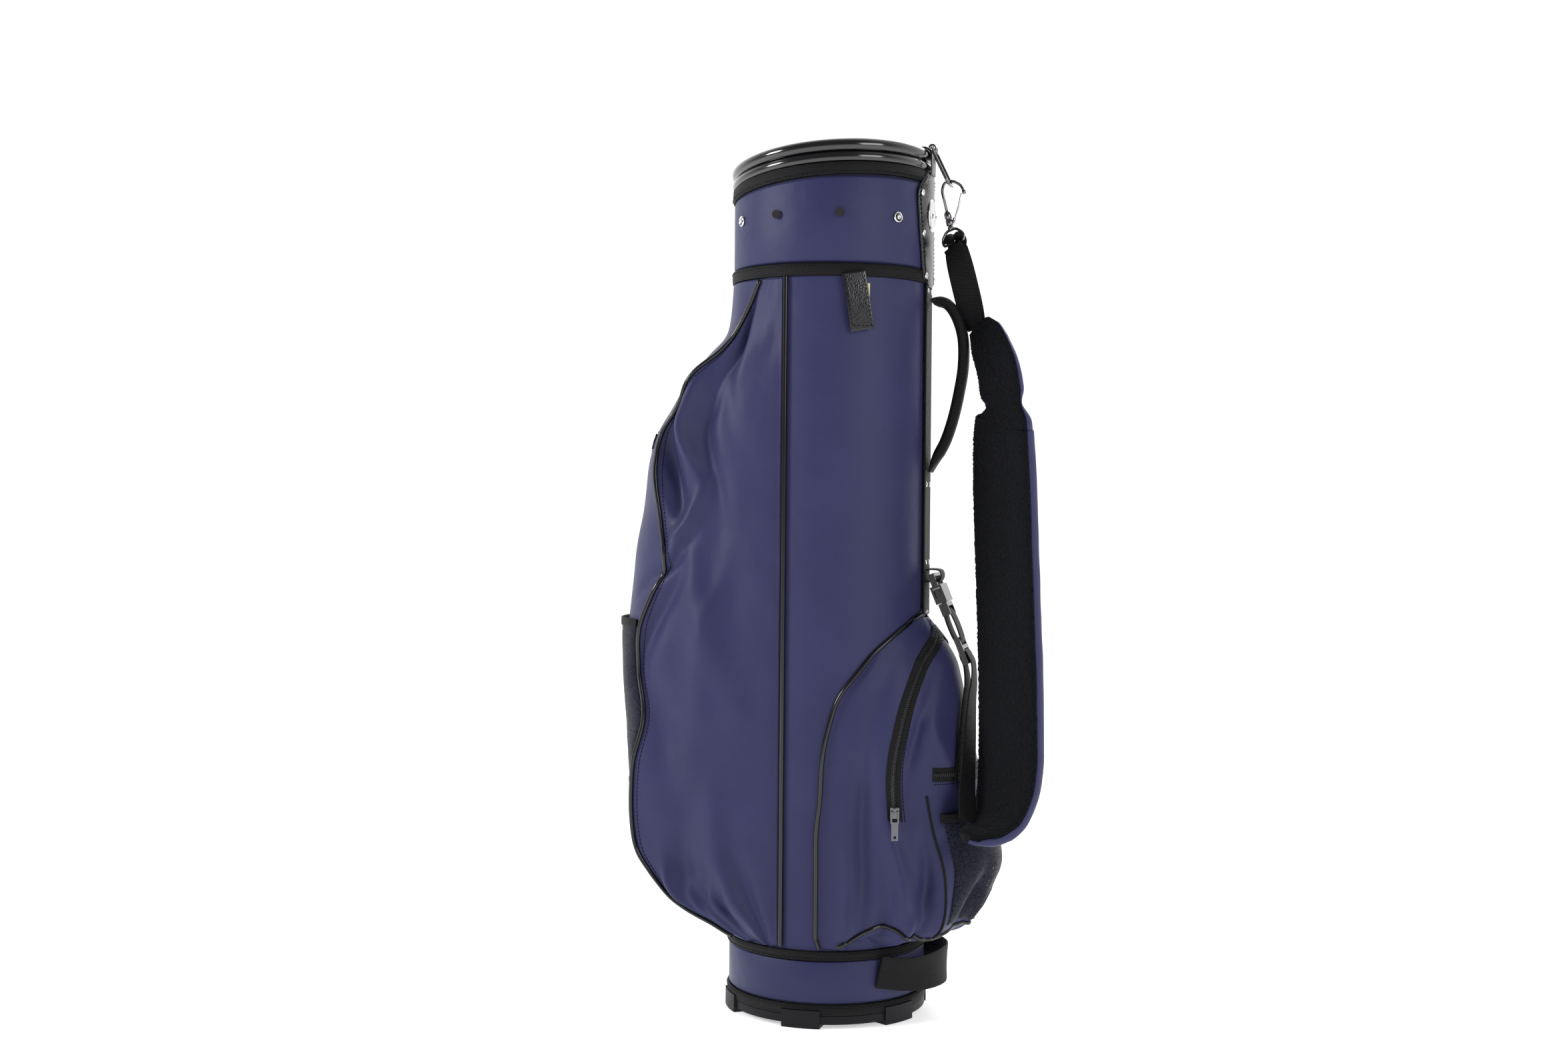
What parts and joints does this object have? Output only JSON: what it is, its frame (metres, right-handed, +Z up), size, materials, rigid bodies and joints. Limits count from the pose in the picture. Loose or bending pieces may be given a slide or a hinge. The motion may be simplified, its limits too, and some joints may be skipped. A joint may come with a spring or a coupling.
{
  "type": "golf cart bag",
  "caption": "Round golf club bag with padded rim, divided top, large side pocket, ball pocket, grab handle and padded shoulder strap on a snap hook.",
  "frame": {"origin": "centre of the base, on the ground", "axes": "+Z up along the tube, +X towards the spine with the handle and strap, -X towards the large pocket"},
  "size_m": [0.4654, 0.2152, 0.9024],
  "materials": {
    "navy_nylon": "woven nylon, slight sheen",
    "black_fabric": "ribbed webbing and bindings",
    "fleece": "short pile fleece",
    "mesh": "open net",
    "rim_vinyl": "glossy padded vinyl",
    "leather": "semi gloss grained",
    "piping": "glossy cord piping",
    "tray_plastic": "moulded, fine texture",
    "tube_plastic": "smooth",
    "foam": "foam and lining",
    "buckle_plastic": "glossy acetal",
    "dark_chrome": "dark nickel",
    "bright_metal": "polished nickel",
    "zip_metal": "dark gunmetal",
    "bar_metal": "plain tube",
    "label_cloth": "small woven tab"
  },
  "bodies": {
    "bag": {"base_tray": "tray_plastic", "base_pad": "foam", "base_lower_binding": "black_fabric", "base_band": "navy_nylon", "base_upper_binding": "black_fabric", "tube_shell": "tube_plastic", "tube_cover": "navy_nylon", "collar_band": "navy_nylon", "collar_lower_binding": "black_fabric", "collar_upper_binding": "black_fabric", "rim_roll_lower": "rim_vinyl", "rim_roll_upper": "rim_vinyl", "divider_bars": "bar_metal", "divider_sleeves": "foam", "divider_panels": "black_fabric", "divider_screws": "dark_chrome", "hood_snaps": "bright_metal", "spine_patch": "leather", "rivets": "bright_metal", "badge_disc": "bright_metal", "badge_pins": "dark_chrome", "ring_loop": "leather", "spine_strip": "black_fabric", "buckle_loop": "black_fabric", "size_label": "label_cloth", "front_pocket": "navy_nylon", "rear_pocket": "navy_nylon", "front_zip": "black_fabric", "small_zip": "black_fabric", "front_mesh": "mesh", "rear_mesh": "mesh", "mesh_bindings": "black_fabric", "side_piping": "piping", "front_piping": "piping", "rear_piping": "piping", "rear_zip": "black_fabric"},
    "grab_handle": {"grab_handle": "black_fabric"},
    "lift_handle": {"lift_handle": "black_fabric"},
    "accessory_tab": {"accessory_tab": "leather"},
    "strap": {"swivel_eye": "dark_chrome", "upper_webbing": "black_fabric", "strap_pad": "navy_nylon", "strap_lining": "fleece", "buckle_housing": "buckle_plastic", "buckle_tongue": "buckle_plastic", "strap_tie": "black_fabric", "ladder_lock": "buckle_plastic", "lower_webbing": "black_fabric"},
    "strap_ring": {"strap_ring": "dark_chrome"},
    "snap_hook": {"snap_hook": "dark_chrome"},
    "hook_gate": {"hook_gate": "bright_metal"},
    "prong_near": {"buckle_prong_near": "buckle_plastic"},
    "prong_far": {"buckle_prong_far": "buckle_plastic"},
    "front_zip_slider": {"front_zip_slider": "zip_metal"},
    "front_zip_pull": {"front_zip_pull": "zip_metal"},
    "small_zip_slider": {"small_zip_slider": "zip_metal"},
    "small_zip_pull": {"small_zip_pull": "zip_metal"},
    "rear_zip_slider": {"rear_zip_slider": "zip_metal"},
    "rear_zip_pull": {"rear_zip_pull": "zip_metal"}
  },
  "joints": [
    {"name": "grab_handle_swing", "type": "hinge", "parent": "bag", "child": "grab_handle", "pos_m": [0.107, 0, 0.65], "axis": [0, 0, 1], "range_deg": [-10, 10]},
    {"name": "lift_handle_fold", "type": "hinge", "parent": "bag", "child": "lift_handle", "pos_m": [0.076, 0, 0.056], "axis": [0, 1, 0], "range_deg": [0, 20]},
    {"name": "accessory_tab_lift", "type": "hinge", "parent": "bag", "child": "accessory_tab", "pos_m": [0.04677, -0.0959, 0.76], "axis": [-0.8988, -0.4384, 0], "range_deg": [0, 80]},
    {"name": "strap_swing", "type": "hinge", "parent": "bag", "child": "strap", "pos_m": [0.1122, 0, 0.4547], "axis": [0.0336, -0.006, 0.9994], "range_deg": [-2, 12]},
    {"name": "strap_ring_lift", "type": "hinge", "parent": "bag", "child": "strap_ring", "pos_m": [0.1072, 0, 0.8978], "axis": [0, 1, 0], "range_deg": [-3, 0]},
    {"name": "hook_swivel", "type": "hinge", "parent": "strap", "child": "snap_hook", "pos_m": [0.1265, 0, 0.815], "axis": [-0.2419, 0, 0.9703], "range_deg": [-10, 10]},
    {"name": "hook_gate_open", "type": "hinge", "parent": "snap_hook", "child": "hook_gate", "pos_m": [0.13024, 0, 0.82315], "axis": [0, -1, 0], "range_deg": [0, 20], "stiffness_Nm_per_rad": 0.02, "springref_deg": -5.73},
    {"name": "buckle_release_near", "type": "hinge", "parent": "strap", "child": "prong_near", "pos_m": [0.1239, -0.0095, 0.4266], "axis": [-0.9232, 0, -0.3843], "range_deg": [0, 7], "stiffness_Nm_per_rad": 0.1},
    {"name": "buckle_release_far", "type": "hinge", "parent": "strap", "child": "prong_far", "pos_m": [0.1239, 0.0095, 0.4266], "axis": [0.9232, 0, 0.3843], "range_deg": [0, 7], "stiffness_Nm_per_rad": 0.1},
    {"name": "front_zip_run", "type": "hinge", "parent": "bag", "child": "front_zip_slider", "pos_m": [-0.03391, 0, 0.592], "axis": [0, 0, 1], "range_deg": [-12, 34]},
    {"name": "front_zip_pull_swing", "type": "hinge", "parent": "front_zip_slider", "child": "front_zip_pull", "pos_m": [-0.1902, 0.03159, 0.5935], "axis": [0.2028, 0.9792, 0], "range_deg": [0, 32]},
    {"name": "small_zip_run", "type": "hinge", "parent": "bag", "child": "small_zip_slider", "pos_m": [0.0782, 0, 0.254], "axis": [0, 0, 1], "range_deg": [-18, 6]},
    {"name": "small_zip_pull_swing", "type": "hinge", "parent": "small_zip_slider", "child": "small_zip_pull", "pos_m": [0.16294, 0.02589, 0.2555], "axis": [0.3074, -0.9516, 0], "range_deg": [0, 25]},
    {"name": "rear_zip_run", "type": "slide", "parent": "bag", "child": "rear_zip_slider", "axis": [0.051, 0.032, 0.9982], "range_m": [0, 0.06]},
    {"name": "rear_zip_pull_swing", "type": "hinge", "parent": "rear_zip_slider", "child": "rear_zip_pull", "pos_m": [0.09215, -0.0893, 0.2205], "axis": [-0.9659, -0.2588, 0], "range_deg": [0, 90]}
  ]
}
